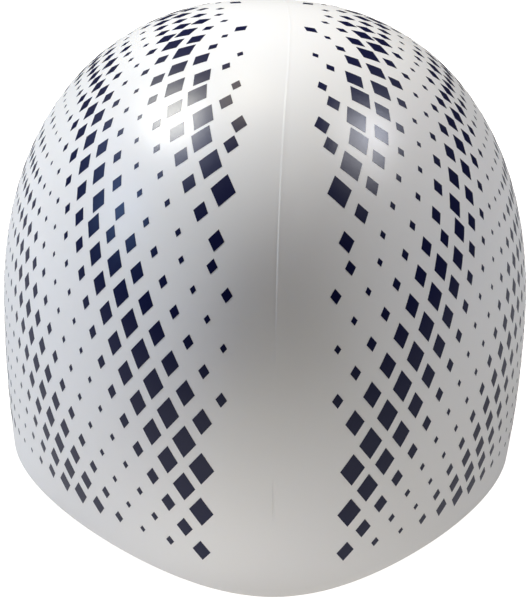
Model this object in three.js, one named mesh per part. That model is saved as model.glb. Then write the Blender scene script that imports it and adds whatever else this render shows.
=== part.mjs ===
import * as THREE from 'three';

// Swim cap: one moulded silicone shell in the form that it takes on a head, standing on its rim.
// Millimetres, +Z up. The narrower forehead end faces -Y, and the moulding seam lies in the plane x = 0.
// The origin is on the ground under the middle of the cap.

// Driving sizes of the outer face
const HALF_WIDTH = 80;
const HALF_LENGTH = 97;
const HEIGHT = 146;
const WALL = 1;

// The fullest level section lies this high, and the wall draws in again below it
const WIDEST_HEIGHT = 52;
const SIDE_DRAW_IN = 0.04;
const END_DRAW_IN = 0.1;

// Power of each superellipse: 2 is an ellipse, more is squarer and less comes to a blunt point
const DOME_POWER = 2.15;
const BODY_POWER = 2.3;
const RIM_POWER = 1.85;
const POWER_BLEND = 1.5;

// The plan is an egg: the forehead end is narrower by this share, and the back keeps its width
const FOREHEAD_NARROWING = 0.26;

// The rim is level at both ends, over this share of the half width, and rises over the ears
const LEVEL_SHARE = 0.18;
const EAR_ARCH = 6;

// Facets around the cap, and from the rim to the crown
const COLUMNS = 72;
const ROWS = 24;

const SILICONE = { color: '#f0f0ee', roughness: 0.38, metalness: 0 };

const outerForm = { halfWidth: HALF_WIDTH, halfLength: HALF_LENGTH, height: HEIGHT };
const innerForm = { halfWidth: HALF_WIDTH - WALL, halfLength: HALF_LENGTH - WALL, height: HEIGHT - WALL };

// Height of the cut edge where the direction from the middle has this sideways share
function rimHeight(sideways) {
  const past = Math.max(0, Math.abs(sideways) - LEVEL_SHARE) / (1 - LEVEL_SHARE);
  return EAR_ARCH * past ** 2;
}

// Size of the level section at z, as a share of the fullest one
function fullness(z, height, drawIn) {
  if (z < WIDEST_HEIGHT) {
    const down = 1 - z / WIDEST_HEIGHT;
    return 1 - drawIn * down ** 2;
  }
  const up = (z - WIDEST_HEIGHT) / (height - WIDEST_HEIGHT);
  return Math.max(0, 1 - up ** DOME_POWER) ** (1 / DOME_POWER);
}

// Reach of the unit superellipse in a direction, blunter towards the rim
function reach(sideways, lengthways, z) {
  const low = Math.max(0, 1 - z / WIDEST_HEIGHT);
  const power = BODY_POWER + (RIM_POWER - BODY_POWER) * low ** POWER_BLEND;
  return (Math.abs(sideways) ** power + Math.abs(lengthways) ** power) ** (-1 / power);
}

// Point of a form at a turn about the vertical, climb running from 0 at the rim to 1 at the crown
function formPoint(form, turn, climb) {
  const sideways = Math.cos(turn);
  const lengthways = Math.sin(turn);
  const rim = rimHeight(sideways);
  const z = rim + (form.height - rim) * Math.sin(climb * Math.PI / 2);
  const radius = reach(sideways, lengthways, z);
  const along = radius * lengthways;
  const across = radius * sideways * (1 + FOREHEAD_NARROWING / 2 * along * (1 - along));
  return [
    form.halfWidth * across * fullness(z, form.height, SIDE_DRAW_IN),
    form.halfLength * along * fullness(z, form.height, END_DRAW_IN),
    z
  ];
}

// Rings of points from the rim up, closed by one point at the crown
function formPoints(form) {
  const points = [];
  for (let row = 0; row < ROWS; row++) {
    for (let column = 0; column < COLUMNS; column++) {
      const turn = column / COLUMNS * 2 * Math.PI;
      points.push(...formPoint(form, turn, row / ROWS));
    }
  }
  points.push(0, 0, form.height);
  return points;
}

// Triangles of one skin whose points start at first; an outward skin faces away from the hollow
function skinFaces(first, outward) {
  const faces = [];
  const add = (a, b, c) => faces.push(...(outward ? [a, b, c] : [a, c, b]));
  const at = (row, column) => first + row * COLUMNS + column % COLUMNS;
  const crown = first + ROWS * COLUMNS;
  for (let column = 0; column < COLUMNS; column++) {
    for (let row = 0; row < ROWS - 1; row++) {
      add(at(row, column), at(row, column + 1), at(row + 1, column + 1));
      add(at(row, column), at(row + 1, column + 1), at(row + 1, column));
    }
    add(at(ROWS - 1, column), at(ROWS - 1, column + 1), crown);
  }
  return faces;
}

// The cut edge, a ring of triangles that looks down between the two skins
function rimFaces(innerFirst) {
  const faces = [];
  for (let column = 0; column < COLUMNS; column++) {
    const next = (column + 1) % COLUMNS;
    faces.push(column, innerFirst + next, next);
    faces.push(column, innerFirst + column, innerFirst + next);
  }
  return faces;
}

function capShell() {
  const outerPoints = formPoints(outerForm);
  const innerFirst = outerPoints.length / 3;
  const geometry = new THREE.BufferGeometry();
  const points = [...outerPoints, ...formPoints(innerForm)];
  geometry.setAttribute('position', new THREE.Float32BufferAttribute(points, 3));
  geometry.setIndex([...skinFaces(0, true), ...skinFaces(innerFirst, false), ...rimFaces(innerFirst)]);
  geometry.computeVertexNormals();
  const shell = new THREE.Mesh(geometry, new THREE.MeshStandardMaterial(SILICONE));
  shell.name = 'cap_shell';
  return shell;
}

const group = new THREE.Group();
group.add(capShell());

export default group;
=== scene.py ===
"""Swim cap: the finish of a moulded silicone cap with a print on both sides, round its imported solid."""

import math
from collections import namedtuple

import bpy
import numpy as np
from bpy.props import FloatProperty, FloatVectorProperty, IntProperty, PointerProperty
from mathutils import Matrix, Vector


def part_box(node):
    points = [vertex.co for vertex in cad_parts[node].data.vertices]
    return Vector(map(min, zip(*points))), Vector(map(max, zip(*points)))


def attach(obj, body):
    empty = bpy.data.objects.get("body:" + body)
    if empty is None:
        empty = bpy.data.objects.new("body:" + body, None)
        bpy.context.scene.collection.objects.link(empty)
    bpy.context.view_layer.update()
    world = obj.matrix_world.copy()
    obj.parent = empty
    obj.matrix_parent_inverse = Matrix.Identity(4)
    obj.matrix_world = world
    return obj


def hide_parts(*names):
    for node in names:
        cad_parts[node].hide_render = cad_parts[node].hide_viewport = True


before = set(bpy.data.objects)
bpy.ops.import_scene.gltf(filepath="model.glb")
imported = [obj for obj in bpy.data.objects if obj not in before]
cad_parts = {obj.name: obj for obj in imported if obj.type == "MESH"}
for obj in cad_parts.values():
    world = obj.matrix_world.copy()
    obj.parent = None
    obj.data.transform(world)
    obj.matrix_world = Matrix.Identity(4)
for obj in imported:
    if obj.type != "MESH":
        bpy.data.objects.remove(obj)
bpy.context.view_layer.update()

bl_info = {
    "name": "Swim Cap",
    "version": (1, 0, 0),
    "blender": (4, 5, 0),
    "location": "3D View > Sidebar > Swim Cap",
    "description": "Makes a moulded silicone swim cap, its print and a plain studio",
    "category": "Add Mesh",
}

CAP_NODE = "cap_shell"
BODY = "root"
MM = 0.001
CAP_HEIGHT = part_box(CAP_NODE)[1].z

# The cap's form, as the solid has it: sizes in metres, shares and powers plain
HALF_WIDTH = 80 * MM
HALF_LENGTH = 97 * MM
WIDEST_HEIGHT = 52 * MM
SIDE_DRAW_IN = 0.04
END_DRAW_IN = 0.1
DOME_POWER = 2.15
BODY_POWER = 2.3
RIM_POWER = 1.85
POWER_BLEND = 1.5
FOREHEAD_NARROWING = 0.26
LEVEL_SHARE = 0.18
EAR_ARCH = 6 * MM

# Cuts across each side of the cube that is rounded into the dome, so its quads are about 2 mm wide
DOME_CUTS = 71
# A vertex this far under the cube's middle belongs to the half that is deleted
LOWER_HALF = -1e-6
BISECT_THRESHOLD = 1e-7
# The rounding along the cut rim: its facets, and the least angle of an edge that gets it
RIM_SEGMENTS = 3
RIM_ANGLE = math.radians(50)
# A vertex is on the outer skin while it lies less deep than this share of the wall
OUTER_SKIN_SHARE = 0.6
# These keep a division at the crown's own point away from zero
LEAST_LEVEL = 1e-12
UNDER_CROWN = 1 - 1e-9

# Places across the moulding seam, in half ridge widths, where the skin gets an extra edge
RIDGE_LOOPS = (0.45, 1.0, 1.5, 2.6)
RIDGE_TOP_LOOP = 0.7

# The seam rises by equal steps, each between two heights, so it is gone low down and faint at the crown.
# Each step reaches further to the right, in half ridge widths: one half of the mould stood a hair proud.
RidgeStep = namedtuple("RidgeStep", "low high reach")
RIDGE_STEPS = (
    RidgeStep(68 * MM, 150 * MM, 0.7),
    RidgeStep(75 * MM, 135 * MM, 1.8),
    RidgeStep(82 * MM, 121 * MM, 4.0),
    RidgeStep(88 * MM, 116 * MM, 8.0),
)

# The stretched seam wanders from the middle plane: to one side at the crown, to the other in front
CROWN_DRIFT = 5 * MM
FOREHEAD_DRIFT = -1.25 * MM
FULL_DRIFT_HEIGHT = 50 * MM
DRIFT_REACH = 30 * MM

# A short shallow mark on the seam, between these heights over the forehead's rim
MARK_SPAN = (31 * MM, 39.5 * MM)
MARK_DEPTH = 0.3 * MM

# Cells along a side of one printed diamond, and the ink's faces over and under the skin
DIAMOND_CELLS = 4
INK_TOP = 0.05 * MM
INK_BOTTOM = 0.03 * MM
INK_SMOOTH_ANGLE = math.radians(40)
# Points along a level line or up the forehead, from which lengths are read off
LINE_STEPS = 721
# Rows that are this much shorter than the widest one have as much fewer diamonds
COLUMN_DROP = 0.75
# The most of the way to its neighbour that a diamond takes up
CLOSEST = 0.84
# Diamonds are neighbours within this many pitches, and one with none has this much room
NEIGHBOUR_PITCHES = 2
FREE_ROOM = 2
LEAST_IN_ROW = 2
# Every other row is shifted by this share of a space
STAGGER = 0.5
# How much closer than on average the columns stand at the ears, and further apart at the seam
EAR_CROWDING = 0.28
MEAN_HALF_SIZE = (HALF_LENGTH + HALF_WIDTH) / 2
# A line from inside the cap is halved this often, from a length that surely leaves the form
CAST_STEPS = 34
CAST_FAR = 0.2
# The step to both sides over which the form's slope is taken
NORMAL_STEP = 0.05 * MM

# Silicone, as a shell and as ink: index of refraction, relief, and how far its roughness drifts
SILICONE_IOR = 1.41
RELIEF = {"strength": 0.25, "distance": 0.2 * MM}
SHELL_SPECULAR = 0.28
INK_SPECULAR = 0.53
SHELL_ROUGHNESS_DRIFT = 0.04
INK_ROUGHNESS_DRIFT = 0.06
# The darker of the two near shades, as a share of the lighter one
SHELL_DARKER = 0.985
INK_DARKER = 0.85
SHELL_SUBSURFACE = {
    "Subsurface Weight": 0.12,
    "Subsurface Radius": (1.0, 0.85, 0.7),
    "Subsurface Scale": 1.5 * MM,
}
# Noise keeps mostly between these two values
NOISE_SPAN = (0.3, 0.7)
DRIFT_DETAIL = 3.0
FINE_DETAIL = 2.0

IMAGE_SIZE = (526, 600)
SENSOR = 36.0


def deselect_all():
    """Nothing is selected and nothing is active, so an operator acts on what comes next alone."""
    if bpy.context.mode != "OBJECT":
        bpy.ops.object.mode_set(mode="OBJECT")
    bpy.ops.object.select_all(action="DESELECT")
    bpy.context.view_layer.objects.active = None


def make_active(piece):
    deselect_all()
    piece.select_set(True)
    bpy.context.view_layer.objects.active = piece


def points_of(piece):
    """The places of a piece's vertices, one row each."""
    places = np.empty(len(piece.data.vertices) * 3)
    piece.data.vertices.foreach_get("co", places)
    return places.reshape(-1, 3)


def set_points(piece, points):
    piece.data.vertices.foreach_set("co", np.ascontiguousarray(points, float).ravel())
    piece.data.update()


def select_vertices(piece, chosen):
    """Selects the chosen vertices and what hangs on them, in object mode."""
    mesh = piece.data
    mesh.polygons.foreach_set("select", np.zeros(len(mesh.polygons), bool))
    mesh.edges.foreach_set("select", np.zeros(len(mesh.edges), bool))
    mesh.vertices.foreach_set("select", np.asarray(chosen, bool))
    mesh.update()


def apply_modifier(piece, kind, **settings):
    """Adds one modifier with its settings and applies it."""
    make_active(piece)
    modifier = piece.modifiers.new(kind.lower(), kind)
    for name, value in settings.items():
        setattr(modifier, name, value)
    bpy.ops.object.modifier_apply(modifier=modifier.name)


def rim_height(sideways):
    """Height of the cut edge where the direction from the middle has this sideways share."""
    past = np.maximum(0, np.abs(sideways) - LEVEL_SHARE) / (1 - LEVEL_SHARE)
    return EAR_ARCH * past**2


def fullness(z, draw_in):
    """Size of the level section at z, as a share of the fullest one."""
    down = np.clip(1 - z / WIDEST_HEIGHT, 0, None)
    up = np.clip((z - WIDEST_HEIGHT) / (CAP_HEIGHT - WIDEST_HEIGHT), 0, 1)
    return (1 - draw_in * down**2) * (1 - up**DOME_POWER) ** (1 / DOME_POWER)


def section_power(z):
    """Power of the level section's superellipse at z."""
    low = np.clip(1 - z / WIDEST_HEIGHT, 0, None)
    return BODY_POWER + (RIM_POWER - BODY_POWER) * low**POWER_BLEND


def dome_points(ball):
    """Points of a unit half ball moved to the cap's form, its flat edge to the arched rim."""
    level = np.maximum(np.hypot(ball[:, 0], ball[:, 1]), LEAST_LEVEL)
    sideways = ball[:, 0] / level
    lengthways = ball[:, 1] / level
    rim = rim_height(sideways)
    z = rim + (CAP_HEIGHT - rim) * np.clip(ball[:, 2], 0, 1)
    power = section_power(z)
    radius = (np.abs(sideways) ** power + np.abs(lengthways) ** power) ** (-1 / power)
    along = radius * lengthways
    across = radius * sideways * (1 + FOREHEAD_NARROWING / 2 * along * (1 - along))
    x = HALF_WIDTH * across * fullness(z, SIDE_DRAW_IN)
    y = HALF_LENGTH * along * fullness(z, END_DRAW_IN)
    return np.stack([x, y, z], 1)


def outside(points):
    """Above zero outside the cap's outer form and below it inside."""
    x, y, z = points.T
    z = np.minimum(z, CAP_HEIGHT * UNDER_CROWN)
    along = y / (HALF_LENGTH * fullness(z, END_DRAW_IN))
    egg = 1 + FOREHEAD_NARROWING / 2 * np.clip(along, -1, 1) * (1 - np.clip(along, -1, 1))
    across = x / (HALF_WIDTH * fullness(z, SIDE_DRAW_IN) * egg)
    power = section_power(z)
    gap = np.abs(across) ** power + np.abs(along) ** power - 1
    return np.where(points[:, 2] >= CAP_HEIGHT, 1.0, gap)


def cast(start, directions):
    """Where lines from a point inside the cap leave its form."""
    near = np.zeros(len(directions))
    far = np.full(len(directions), CAST_FAR)
    for _ in range(CAST_STEPS):
        middle = (near + far) / 2
        out = outside(start + directions * middle[:, None]) > 0
        far = np.where(out, middle, far)
        near = np.where(out, near, middle)
    return start + directions * far[:, None]


def on_form(points):
    """Points near the cap's form moved onto it, away from the middle of its fullest section."""
    middle = np.array([0, 0, WIDEST_HEIGHT])
    ways = points - middle
    return cast(middle, ways / np.linalg.norm(ways, axis=1, keepdims=True))


def form_normals(points):
    """Outward normals of the cap's form."""
    slopes = []
    for axis in np.eye(3) * NORMAL_STEP:
        slopes.append(outside(points + axis) - outside(points - axis))
    slopes = np.stack(slopes, 1)
    return slopes / np.linalg.norm(slopes, axis=1, keepdims=True)


def seam_drift(points):
    """How far to the side the seam lies at each point's place along it."""
    along = np.clip(points[:, 1] / HALF_LENGTH, -1, 1)
    drift = CROWN_DRIFT * (1 - along**2) ** 2 + FOREHEAD_DRIFT * (1 - along) / 2
    return drift * np.clip(points[:, 2] / FULL_DRIFT_HEIGHT, 0, 1)


def new_group(name, inputs, outputs):
    """A shader node group with named sockets, and its two end nodes."""
    group = bpy.data.node_groups.new(name, "ShaderNodeTree")
    for label, kind, value in inputs:
        socket = group.interface.new_socket(label, in_out="INPUT", socket_type=kind)
        if value is not None:
            socket.default_value = value
    for label, kind in outputs:
        group.interface.new_socket(label, in_out="OUTPUT", socket_type=kind)
    return group, group.nodes.new("NodeGroupInput"), group.nodes.new("NodeGroupOutput")


def moulded_surface_group():
    """Roughness that drifts over the surface, and the faint relief of moulded silicone."""
    group, start, end = new_group(
        "moulded_surface",
        [
            ("Vector", "NodeSocketVector", None),
            ("Grain Scale", "NodeSocketFloat", 900.0),
            ("Drift Scale", "NodeSocketFloat", 14.0),
            ("Smoothest", "NodeSocketFloat", 0.3),
            ("Roughest", "NodeSocketFloat", 0.4),
            ("Grain Share", "NodeSocketFloat", 0.25),
        ],
        [("Roughness", "NodeSocketFloat"), ("Height", "NodeSocketFloat")],
    )
    link = group.links.new
    drift = group.nodes.new("ShaderNodeTexNoise")
    drift.inputs["Detail"].default_value = DRIFT_DETAIL
    link(start.outputs["Vector"], drift.inputs["Vector"])
    link(start.outputs["Drift Scale"], drift.inputs["Scale"])
    grain = group.nodes.new("ShaderNodeTexNoise")
    grain.inputs["Detail"].default_value = FINE_DETAIL
    link(start.outputs["Vector"], grain.inputs["Vector"])
    link(start.outputs["Grain Scale"], grain.inputs["Scale"])
    rough = group.nodes.new("ShaderNodeMapRange")
    rough.inputs["From Min"].default_value = NOISE_SPAN[0]
    rough.inputs["From Max"].default_value = NOISE_SPAN[1]
    link(drift.outputs["Fac"], rough.inputs["Value"])
    link(start.outputs["Smoothest"], rough.inputs["To Min"])
    link(start.outputs["Roughest"], rough.inputs["To Max"])
    link(rough.outputs["Result"], end.inputs["Roughness"])
    height = group.nodes.new("ShaderNodeMix")
    link(start.outputs["Grain Share"], height.inputs["Factor"])
    link(drift.outputs["Fac"], height.inputs["A"])
    link(grain.outputs["Fac"], height.inputs["B"])
    link(height.outputs["Result"], end.inputs["Height"])
    return group


def tint_drift_group():
    """A colour that drifts between two near shades over the surface."""
    group, start, end = new_group(
        "tint_drift",
        [
            ("Vector", "NodeSocketVector", None),
            ("Scale", "NodeSocketFloat", 9.0),
            ("Shade A", "NodeSocketColor", (0.8, 0.8, 0.8, 1)),
            ("Shade B", "NodeSocketColor", (0.75, 0.75, 0.75, 1)),
        ],
        [("Color", "NodeSocketColor")],
    )
    link = group.links.new
    noise = group.nodes.new("ShaderNodeTexNoise")
    noise.inputs["Detail"].default_value = FINE_DETAIL
    link(start.outputs["Vector"], noise.inputs["Vector"])
    link(start.outputs["Scale"], noise.inputs["Scale"])
    share = group.nodes.new("ShaderNodeMapRange")
    share.inputs["From Min"].default_value = NOISE_SPAN[0]
    share.inputs["From Max"].default_value = NOISE_SPAN[1]
    link(noise.outputs["Fac"], share.inputs["Value"])
    blend = group.nodes.new("ShaderNodeMix")
    blend.data_type = "RGBA"
    link(share.outputs["Result"], blend.inputs["Factor"])
    link(start.outputs["Shade A"], blend.inputs[6])
    link(start.outputs["Shade B"], blend.inputs[7])
    link(blend.outputs[2], end.inputs["Color"])
    return group


def shared_group(name, make):
    return bpy.data.node_groups.get(name) or make()


def skin_material(name, shade, darker, roughness, sockets):
    """A silicone skin of two near shades, with the moulded surface and plain shader sockets."""
    material = bpy.data.materials.new(name)
    material.use_nodes = True
    nodes, link = material.node_tree.nodes, material.node_tree.links.new
    shader = nodes["Principled BSDF"]
    place = nodes.new("ShaderNodeTexCoord").outputs["Object"]
    tint = nodes.new("ShaderNodeGroup")
    tint.node_tree = shared_group("tint_drift", tint_drift_group)
    link(place, tint.inputs["Vector"])
    tint.inputs["Shade A"].default_value = (*shade, 1)
    tint.inputs["Shade B"].default_value = (*(channel * darker for channel in shade), 1)
    link(tint.outputs["Color"], shader.inputs["Base Color"])
    moulded = nodes.new("ShaderNodeGroup")
    moulded.node_tree = shared_group("moulded_surface", moulded_surface_group)
    link(place, moulded.inputs["Vector"])
    moulded.inputs["Smoothest"].default_value = roughness[0]
    moulded.inputs["Roughest"].default_value = roughness[1]
    link(moulded.outputs["Roughness"], shader.inputs["Roughness"])
    relief = nodes.new("ShaderNodeBump")
    relief.inputs["Strength"].default_value = RELIEF["strength"]
    relief.inputs["Distance"].default_value = RELIEF["distance"]
    link(moulded.outputs["Height"], relief.inputs["Height"])
    link(relief.outputs["Normal"], shader.inputs["Normal"])
    shader.inputs["IOR"].default_value = SILICONE_IOR
    for label, value in sockets.items():
        shader.inputs[label].default_value = value
    return material


def silicone_material(look):
    smoothest = look.silicone_roughness
    return skin_material(
        "white_silicone",
        tuple(look.silicone_colour),
        SHELL_DARKER,
        (smoothest, smoothest + SHELL_ROUGHNESS_DRIFT),
        {"Specular IOR Level": SHELL_SPECULAR, **SHELL_SUBSURFACE},
    )


def ink_material(look):
    smoothest = look.silicone_roughness
    return skin_material(
        "navy_ink",
        tuple(look.ink_colour),
        INK_DARKER,
        (smoothest, smoothest + INK_ROUGHNESS_DRIFT),
        {"Specular IOR Level": INK_SPECULAR},
    )


class CapLook(bpy.types.PropertyGroup):
    """Sizes of the moulding's fine detail, and its colours."""

    wall: FloatProperty(
        name="Wall", description="Thickness of the silicone", default=1 * MM, min=0, unit="LENGTH"
    )
    rim_round: FloatProperty(
        name="Rim rounding",
        description="Radius along both edges of the cut rim",
        default=0.3 * MM,
        min=0,
        unit="LENGTH",
    )
    ridge_width: FloatProperty(
        name="Seam width", description="Width of the raised moulding line", default=0.8 * MM, unit="LENGTH"
    )
    ridge_height: FloatProperty(
        name="Seam height", description="Height of the raised moulding line", default=0.2 * MM, unit="LENGTH"
    )
    silicone_colour: FloatVectorProperty(
        name="Silicone", description="Colour of the shell", default=(0.86, 0.855, 0.84), subtype="COLOR"
    )
    silicone_roughness: FloatProperty(
        name="Roughness", description="Roughness of the shell", default=0.28, min=0, max=1, subtype="FACTOR"
    )
    ink_colour: FloatVectorProperty(
        name="Ink", description="Colour of the print", default=(0.002, 0.004, 0.042), subtype="COLOR"
    )


class PrintDesign(bpy.types.PropertyGroup):
    """The level rows of diamonds that are printed on each side of the cap."""

    rows: IntProperty(name="Rows", description="Level rows from the rim to the crown", default=25, min=1)
    row_pitch: FloatProperty(
        name="Row pitch", description="From row to row along the forehead", default=7.1 * MM, unit="LENGTH"
    )
    pitch: FloatProperty(
        name="Pitch", description="From diamond to diamond in a row", default=8.2 * MM, unit="LENGTH"
    )
    width: FloatProperty(
        name="Width", description="Width of the largest diamond", default=7.8 * MM, unit="LENGTH"
    )
    height: FloatProperty(
        name="Height", description="Height of the largest diamond", default=10.4 * MM, unit="LENGTH"
    )
    smallest: FloatProperty(
        name="Smallest",
        description="Size of the least diamond, as a share",
        default=0.26,
        min=0,
        max=1,
        subtype="FACTOR",
    )
    ear_share: FloatProperty(
        name="At the ears",
        description="Size that is left at the ears, as a share",
        default=0.55,
        min=0,
        max=1,
        subtype="FACTOR",
    )
    wave_up: FloatProperty(
        name="Wave up",
        description="Height over which the sizes rise and fall",
        default=88 * MM,
        unit="LENGTH",
    )
    wave_along: FloatProperty(
        name="Wave along", description="Length of a row over which they do", default=62 * MM, unit="LENGTH"
    )
    wave_start: FloatProperty(
        name="Wave start", description="Height of the first largest diamonds", default=34 * MM, unit="LENGTH"
    )
    rim_margin: FloatProperty(
        name="Rim margin", description="From the cut edge to the lowest row", default=15 * MM, unit="LENGTH"
    )
    rim_band: FloatProperty(
        name="Band at the rim",
        description="From the seam to the first column, low down",
        default=21 * MM,
        unit="LENGTH",
    )
    crown_band: FloatProperty(
        name="Band at the crown",
        description="From the seam to the first column, high up",
        default=8.5 * MM,
        unit="LENGTH",
    )


class StudioSet(bpy.types.PropertyGroup):
    """Where the camera stands and how strong the soft lights are."""

    elevation: FloatProperty(
        name="Elevation",
        description="Camera's angle above the floor",
        default=math.radians(20),
        subtype="ANGLE",
    )
    turn: FloatProperty(
        name="Turn", description="Camera's turn about the cap", default=math.radians(-2.64), subtype="ANGLE"
    )
    roll: FloatProperty(
        name="Roll", description="Camera's roll", default=math.radians(1.59), subtype="ANGLE"
    )
    distance: FloatProperty(
        name="Distance", description="From the camera to the cap's middle", default=0.7, unit="LENGTH"
    )
    pixels_a_metre: FloatProperty(
        name="Scale", description="Pixels for one metre at the cap's middle", default=3288.0
    )
    middle_pixel: FloatVectorProperty(
        name="Middle", description="Pixel where the cap's middle lies", size=2, default=(267.5, 246.2)
    )
    brightness: FloatProperty(name="Brightness", description="Strength of all the lights", default=1.0, min=0)
    card_glow: FloatProperty(
        name="Card glow",
        description="Light that the pale card before the cap throws up",
        default=1.15,
        min=0,
    )
    room_glow: FloatProperty(
        name="Room glow", description="Light that the dim room throws in", default=0.02, min=0
    )


class SWIMCAP_OT_shell(bpy.types.Operator):
    """Model the moulded shell with its wall, rounded rim and raised seam"""

    bl_idname = "swimcap.shell"
    bl_label = "Cap Shell"

    def execute(self, context):
        look = context.scene.cap_look
        deselect_all()
        bpy.ops.mesh.primitive_cube_add(size=2)
        shell = context.object
        shell.name = shell.data.name = "cap_silicone"
        bpy.ops.object.mode_set(mode="EDIT")
        bpy.ops.mesh.subdivide(number_cuts=DOME_CUTS)
        bpy.ops.object.mode_set(mode="OBJECT")
        cube = points_of(shell)
        select_vertices(shell, cube[:, 2] < LOWER_HALF)
        bpy.ops.object.mode_set(mode="EDIT")
        bpy.ops.mesh.delete(type="VERT")
        bpy.ops.object.mode_set(mode="OBJECT")
        cube = points_of(shell)
        # The tangent evens out the angles between the quads of the rounded cube
        ball = np.tan(cube * math.pi / 4)
        ball /= np.linalg.norm(ball, axis=1, keepdims=True)
        set_points(shell, dome_points(ball))
        half_ridge = look.ridge_width / 2
        bpy.ops.object.mode_set(mode="EDIT")
        for side in (-1, 1):
            for share in RIDGE_LOOPS:
                bpy.ops.mesh.select_all(action="SELECT")
                place = side * share * half_ridge
                bpy.ops.mesh.bisect(
                    plane_co=(place, 0, 0), plane_no=(1, 0, 0), threshold=BISECT_THRESHOLD
                )
        bpy.ops.object.mode_set(mode="OBJECT")
        self.move_seam(shell)
        apply_modifier(shell, "SOLIDIFY", thickness=look.wall, offset=-1, use_even_offset=True)
        apply_modifier(
            shell,
            "BEVEL",
            width=look.rim_round,
            segments=RIM_SEGMENTS,
            limit_method="ANGLE",
            angle_limit=RIM_ANGLE,
        )
        self.raise_seam(shell, look)
        bpy.ops.object.shade_smooth()
        shell.data.materials.append(silicone_material(look))
        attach(shell, BODY)
        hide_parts(CAP_NODE)
        return {"FINISHED"}

    def move_seam(self, shell):
        """Draws the skin beside the middle plane sideways, the seam's own edges with it."""
        points = points_of(shell)
        beside = np.abs(points[:, 0]) / DRIFT_REACH
        near = beside < 1
        points[near, 0] += (seam_drift(points) * (1 - beside**2) ** 2)[near]
        points[near] = on_form(points[near])
        set_points(shell, points)

    def raise_seam(self, shell, look):
        """Lifts the line along the middle of the outer skin, and sinks the mark on it."""
        points = points_of(shell)
        heights = points[:, 2]
        aside = (points[:, 0] - seam_drift(points)) / (look.ridge_width / 2)
        outer = outside(points) > -OUTER_SKIN_SHARE * look.wall / HALF_LENGTH
        top = outer & (np.abs(aside) < RIDGE_TOP_LOOP)
        for step in RIDGE_STEPS:
            raised = outer & (aside > -RIDGE_TOP_LOOP) & (aside < step.reach)
            raised &= (heights > step.low) & (heights < step.high)
            self.push(shell, raised, look.ridge_height / len(RIDGE_STEPS))
        marked = top & (heights > MARK_SPAN[0]) & (heights < MARK_SPAN[1]) & (points[:, 1] < 0)
        self.push(shell, marked, -MARK_DEPTH)

    def push(self, shell, chosen, distance):
        select_vertices(shell, chosen)
        bpy.ops.object.mode_set(mode="EDIT")
        bpy.ops.transform.shrink_fatten(value=distance)
        bpy.ops.object.mode_set(mode="OBJECT")


def running_length(line):
    """Length along a line of points, from its start to each point."""
    return np.r_[0, np.cumsum(np.linalg.norm(np.diff(line, axis=0), axis=1))]


def along_line(line, run, where):
    """Points of a line at these lengths from its start."""
    return np.stack([np.interp(where, run, line[:, axis]) for axis in range(3)], 1)


def row_climbs(design):
    """How far up the printed rows lie, evenly spaced along the middle of the forehead."""
    climb = np.linspace(0, 1, LINE_STEPS, endpoint=False)
    forehead = dome_points(np.stack([np.zeros(LINE_STEPS), -np.sqrt(1 - climb**2), climb], 1))
    rises = design.rim_margin + design.row_pitch * np.arange(design.rows)
    run = running_length(forehead)
    inside = rises < run[-1]
    return rises[inside], np.interp(rises[inside], run, climb)


def level_line(climb, turn):
    """A level line of the form, at these turns from the ear."""
    level = math.sqrt(1 - climb**2)
    return dome_points(np.stack([level * np.cos(turn), level * np.sin(turn), np.full(len(turn), climb)], 1))


def clear_of_neighbours(design, centres, ahead, sizes):
    """Sizes cut back where a diamond would come too near the next one."""
    up = np.cross(form_normals(centres), ahead)
    apart = centres[None] - centres[:, None]
    across = np.abs(np.einsum("ijk,ik->ij", apart, ahead)) / design.width
    along = np.abs(np.einsum("ijk,ik->ij", apart, up)) / design.height
    distance = np.linalg.norm(apart, axis=2)
    neighbour = (distance > 0) & (distance < NEIGHBOUR_PITCHES * design.pitch)
    room = np.where(neighbour, across + along, FREE_ROOM).min(axis=1)
    return np.minimum(sizes, CLOSEST * room)


def diamond_places(design):
    """Centre, direction along the row and size of each diamond on the right side."""
    turn = np.linspace(-math.pi / 2, math.pi / 2, LINE_STEPS)
    widest = running_length(level_line(WIDEST_HEIGHT / CAP_HEIGHT, turn))
    most = widest[-1] / design.pitch
    centres, ahead, sizes = [], [], []
    for row, (rise, climb) in enumerate(zip(*row_climbs(design))):
        line = level_line(climb, turn)
        run = running_length(line)
        drops = round(math.log(run[-1] / widest[-1], COLUMN_DROP))
        spaces = round(most * COLUMN_DROP**drops)
        columns = (np.arange(spaces) + (STAGGER if row % 2 else 0)) / spaces
        columns += EAR_CROWDING * np.sin(2 * math.pi * columns) / (2 * math.pi)
        where = np.interp(np.interp(columns * widest[-1], widest, turn), turn, run)
        band = design.rim_band + (design.crown_band - design.rim_band) * line[0, 2] / CAP_HEIGHT
        where = where[along_line(line, run, where)[:, 0] >= band]
        if len(where) < LEAST_IN_ROW:
            continue
        edge = run[line[:, 0] >= band][0]
        near_band = np.minimum(where - edge, run[-1] - edge - where)
        wave = 0.5 + 0.5 * np.cos(
            2 * math.pi * ((rise - design.wave_start) / design.wave_up - near_band / design.wave_along)
        )
        fade = 1 - (1 - design.ear_share) * near_band / MEAN_HALF_SIZE
        centres.append(along_line(line, run, where))
        ahead.append(along_line(line, run, where + MM) - along_line(line, run, where - MM))
        sizes.append((design.smallest + (1 - design.smallest) * wave) * fade)
    centres = np.concatenate(centres)
    ahead = np.concatenate(ahead)
    ahead /= np.linalg.norm(ahead, axis=1, keepdims=True)
    return centres, ahead, clear_of_neighbours(design, centres, ahead, np.concatenate(sizes))


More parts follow.
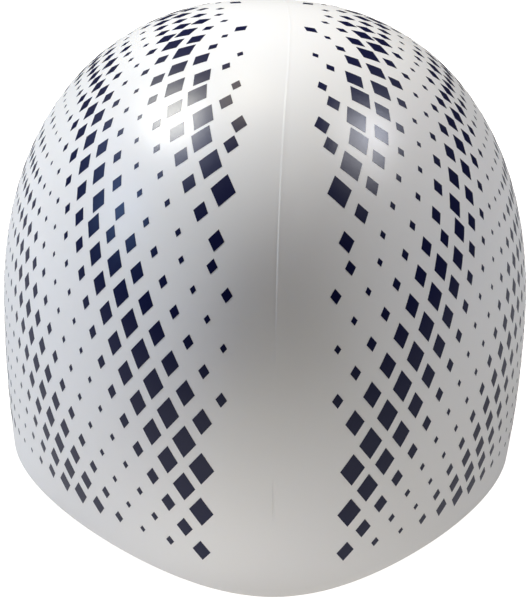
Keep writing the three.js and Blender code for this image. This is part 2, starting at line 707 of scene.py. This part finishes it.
def lay_on_form(flat, centres, ahead, sizes):
    """Moves each flat diamond to its place on the form, its ink a hair over the skin."""
    up = np.cross(form_normals(centres), ahead)
    local = (flat - flat.mean(axis=1, keepdims=True)) * sizes[:, None, None]
    points = centres[:, None] + local[..., :1] * ahead[:, None] + local[..., 1:2] * up[:, None]
    points = on_form(points.reshape(-1, 3))
    return points + form_normals(points) * INK_TOP


class SWIMCAP_OT_print(bpy.types.Operator):
    """Model the print as thin ink diamonds on both sides of the shell"""

    bl_idname = "swimcap.print"
    bl_label = "Print"

    def execute(self, context):
        scene = context.scene
        design = scene.print_design
        centres, ahead, sizes = diamond_places(design)
        deselect_all()
        bpy.ops.mesh.primitive_grid_add(x_subdivisions=DIAMOND_CELLS, y_subdivisions=DIAMOND_CELLS, size=1)
        sheet = context.object
        sheet.name = sheet.data.name = "print_right"
        bpy.ops.object.mode_set(mode="EDIT")
        bpy.ops.transform.rotate(value=math.pi / 4, orient_axis="Z", center_override=(0, 0, 0))
        across_corners = math.sqrt(2)
        bpy.ops.transform.resize(
            value=(design.width / across_corners, design.height / across_corners, 1),
            center_override=(0, 0, 0),
        )
        bpy.ops.object.mode_set(mode="OBJECT")
        apply_modifier(
            sheet,
            "ARRAY",
            count=len(centres),
            use_relative_offset=False,
            use_constant_offset=True,
            constant_offset_displace=(design.pitch, 0, 0),
        )
        flat = points_of(sheet).reshape(len(centres), -1, 3)
        set_points(sheet, lay_on_form(flat, centres, ahead, sizes))
        apply_modifier(sheet, "SOLIDIFY", thickness=INK_TOP + INK_BOTTOM, offset=-1)
        sheet.data.materials.append(ink_material(scene.cap_look))
        make_active(sheet)
        bpy.ops.object.shade_smooth_by_angle(angle=INK_SMOOTH_ANGLE)
        bpy.ops.object.duplicate()
        other = context.object
        other.name = other.data.name = "print_left"
        set_points(other, points_of(other) * (-1, 1, 1))
        bpy.ops.object.mode_set(mode="EDIT")
        bpy.ops.mesh.select_all(action="SELECT")
        bpy.ops.mesh.flip_normals()
        bpy.ops.object.mode_set(mode="OBJECT")
        for side in (sheet, other):
            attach(side, BODY)
        return {"FINISHED"}


FLOOR_HALF = 6.0
TABLE_GREY = 0.3
TABLE_ROUGHNESS = 0.9
# How bright the camera sees the table and the air behind it, so both are white
TABLE_SEEN = 1.1
AIR_SEEN = 2.4
# The pale card on the table before the cap: its middle and radius in metres
CARD_MIDDLE = (-0.05, -0.18, 0)
CARD_RADIUS = 0.3
CARD_COLOUR = (1.0, 0.97, 0.94)
# The share of the card's glow that shows where the cap mirrors it
CARD_MIRRORED = 0.5
ROOM_COLOUR = (1.0, 0.75, 0.5)
TARGET = Vector((0, 0, CAP_HEIGHT / 2))


def camera_axes(studio):
    """The camera's right, up and forward directions before it is aimed off the cap's middle."""
    turn, rise, roll = studio.turn, studio.elevation, studio.roll
    right = Vector((math.cos(turn), math.sin(turn), 0))
    forward = Vector((-math.sin(turn) * math.cos(rise), math.cos(turn) * math.cos(rise), -math.sin(rise)))
    up = right.cross(forward)
    rolled_right = right * math.cos(roll) + up * math.sin(roll)
    return rolled_right, rolled_right.cross(forward), forward


def add_camera(studio):
    right, up, forward = camera_axes(studio)
    place = TARGET - forward * studio.distance
    focal_pixels = studio.pixels_a_metre * studio.distance
    aside = (IMAGE_SIZE[0] / 2 - studio.middle_pixel[0]) / focal_pixels
    down = (IMAGE_SIZE[1] / 2 - studio.middle_pixel[1]) / focal_pixels
    look = (forward + right * aside - up * down).normalized()
    side = (right - look * right.dot(look)).normalized()
    camera = bpy.data.cameras.new("photo_camera")
    camera.sensor_width = SENSOR
    camera.lens = focal_pixels / max(IMAGE_SIZE) * SENSOR
    holder = bpy.data.objects.new("photo_camera", camera)
    bpy.context.scene.collection.objects.link(holder)
    aim = Matrix((side, side.cross(look), -look)).transposed().to_4x4()
    holder.matrix_world = Matrix.Translation(place) @ aim
    bpy.context.scene.camera = holder


SoftBox = namedtuple("SoftBox", "name azimuth elevation distance width height watts colour")

# Azimuths are in degrees from the camera's side, and to the right; sizes are in metres
SOFT_BOXES = (
    SoftBox("window_left", -118.5, 46.5, 1.5, 0.4, 0.4, 17.6, (1.0, 0.99, 0.88)),
    SoftBox("window_right", 112, 45.5, 1.5, 0.26, 0.26, 4.2, (0.8, 0.85, 1.0)),
    SoftBox("ceiling_back", -150, 70, 1.5, 0.6, 0.6, 5.8, (1.0, 0.88, 0.62)),
    SoftBox("ceiling_left", -105, 50, 1.5, 0.6, 0.6, 4.6, (0.5, 0.6, 1.0)),
    SoftBox("ceiling_right", 100, 50, 1.5, 0.6, 0.6, 9.4, (0.97, 0.97, 1.0)),
    SoftBox("cool_wall", -110, 30, 1.5, 1.0, 0.6, 2.5, (0.3, 0.48, 1.0)),
    SoftBox("cool_pane", -96, 20.5, 1.5, 0.4, 0.4, 2.5, (0.32, 0.56, 1.0)),
)


def add_soft_box(box, strength):
    """One soft light that stands round the cap's middle and looks at it."""
    light = bpy.data.lights.new(box.name, "AREA")
    light.shape = "RECTANGLE"
    light.size = box.width
    light.size_y = box.height
    light.energy = box.watts * strength
    light.color = box.colour
    azimuth, elevation = math.radians(box.azimuth), math.radians(box.elevation)
    way = Vector(
        (
            math.sin(azimuth) * math.cos(elevation),
            -math.cos(azimuth) * math.cos(elevation),
            math.sin(elevation),
        )
    )
    holder = bpy.data.objects.new(box.name, light)
    bpy.context.scene.collection.objects.link(holder)
    holder.location = TARGET + way * box.distance
    holder.rotation_euler = way.to_track_quat("Z", "Y").to_euler()


def seen_or_thrown(tree, seen, thrown):
    """A strength that is one value where the camera looks and another where the light is thrown."""
    path = tree.nodes.new("ShaderNodeLightPath")
    strength = tree.nodes.new("ShaderNodeMix")
    strength.inputs["B"].default_value = seen
    tree.links.new(path.outputs["Is Camera Ray"], strength.inputs["Factor"])
    if isinstance(thrown, float):
        strength.inputs["A"].default_value = thrown
    else:
        tree.links.new(thrown, strength.inputs["A"])
    return strength.outputs["Result"]


def card_glow(tree, studio):
    """Light of the pale card before the cap: strongest at its middle and none past its edge."""
    place = tree.nodes.new("ShaderNodeTexCoord")
    centred = tree.nodes.new("ShaderNodeMapping")
    centred.vector_type = "TEXTURE"
    centred.inputs["Location"].default_value = CARD_MIDDLE
    centred.inputs["Scale"].default_value = (CARD_RADIUS, CARD_RADIUS, CARD_RADIUS)
    falloff = tree.nodes.new("ShaderNodeTexGradient")
    falloff.gradient_type = "SPHERICAL"
    glow = tree.nodes.new("ShaderNodeMapRange")
    glow.inputs["To Max"].default_value = studio.card_glow * studio.brightness
    tree.links.new(place.outputs["Object"], centred.inputs["Vector"])
    tree.links.new(centred.outputs["Vector"], falloff.inputs["Vector"])
    tree.links.new(falloff.outputs["Fac"], glow.inputs["Value"])
    path = tree.nodes.new("ShaderNodeLightPath")
    share = tree.nodes.new("ShaderNodeMapRange")
    share.inputs["To Min"].default_value = 1.0
    share.inputs["To Max"].default_value = CARD_MIRRORED
    tree.links.new(path.outputs["Is Glossy Ray"], share.inputs["Value"])
    dimmed = tree.nodes.new("ShaderNodeMath")
    dimmed.operation = "MULTIPLY"
    tree.links.new(glow.outputs["Result"], dimmed.inputs[0])
    tree.links.new(share.outputs["Result"], dimmed.inputs[1])
    return dimmed.outputs["Value"]


class SWIMCAP_OT_studio(bpy.types.Operator):
    """Set a plain white table, soft lights and the camera"""

    bl_idname = "swimcap.studio"
    bl_label = "Studio"

    def execute(self, context):
        studio = context.scene.studio_set
        deselect_all()
        bpy.ops.mesh.primitive_plane_add(size=2 * FLOOR_HALF)
        floor = context.object
        floor.name = "floor"
        paint = bpy.data.materials.new("white_table")
        paint.use_nodes = True
        tree = paint.node_tree
        shader = tree.nodes["Principled BSDF"]
        shader.inputs["Base Color"].default_value = (TABLE_GREY, TABLE_GREY, TABLE_GREY, 1)
        shader.inputs["Roughness"].default_value = TABLE_ROUGHNESS
        shader.inputs["Emission Color"].default_value = (*CARD_COLOUR, 1)
        glow = seen_or_thrown(tree, TABLE_SEEN, card_glow(tree, studio))
        tree.links.new(glow, shader.inputs["Emission Strength"])
        floor.data.materials.append(paint)
        for box in SOFT_BOXES:
            add_soft_box(box, studio.brightness)
        world = bpy.data.worlds.new("studio_air")
        world.use_nodes = True
        air = world.node_tree.nodes["Background"]
        room = seen_or_thrown(world.node_tree, AIR_SEEN, studio.room_glow * studio.brightness)
        world.node_tree.links.new(room, air.inputs["Strength"])
        air.inputs["Color"].default_value = (*ROOM_COLOUR, 1)
        context.scene.world = world
        context.scene.view_settings.view_transform = "Standard"
        add_camera(studio)
        return {"FINISHED"}


class SWIMCAP_PT_panel(bpy.types.Panel):
    """Lists the cap's pieces and their sizes"""

    bl_idname = "SWIMCAP_PT_panel"
    bl_label = "Swim Cap"
    bl_space_type = "VIEW_3D"
    bl_region_type = "UI"
    bl_category = "Swim Cap"

    def draw(self, context):
        scene = context.scene
        for settings, operator in (
            (scene.cap_look, SWIMCAP_OT_shell),
            (scene.print_design, SWIMCAP_OT_print),
            (scene.studio_set, SWIMCAP_OT_studio),
        ):
            box = self.layout.box()
            for name in settings.__annotations__:
                box.prop(settings, name)
            box.operator(operator.bl_idname)


CLASSES = (
    CapLook,
    PrintDesign,
    StudioSet,
    SWIMCAP_OT_shell,
    SWIMCAP_OT_print,
    SWIMCAP_OT_studio,
    SWIMCAP_PT_panel,
)


def register():
    for cls in CLASSES:
        bpy.utils.register_class(cls)
    bpy.types.Scene.cap_look = PointerProperty(type=CapLook)
    bpy.types.Scene.print_design = PointerProperty(type=PrintDesign)
    bpy.types.Scene.studio_set = PointerProperty(type=StudioSet)


def unregister():
    del bpy.types.Scene.studio_set
    del bpy.types.Scene.print_design
    del bpy.types.Scene.cap_look
    for cls in reversed(CLASSES):
        bpy.utils.unregister_class(cls)


def main():
    register()
    bpy.ops.swimcap.studio()
    bpy.ops.swimcap.shell()
    bpy.ops.swimcap.print()


if __name__ == "__main__":
    main()
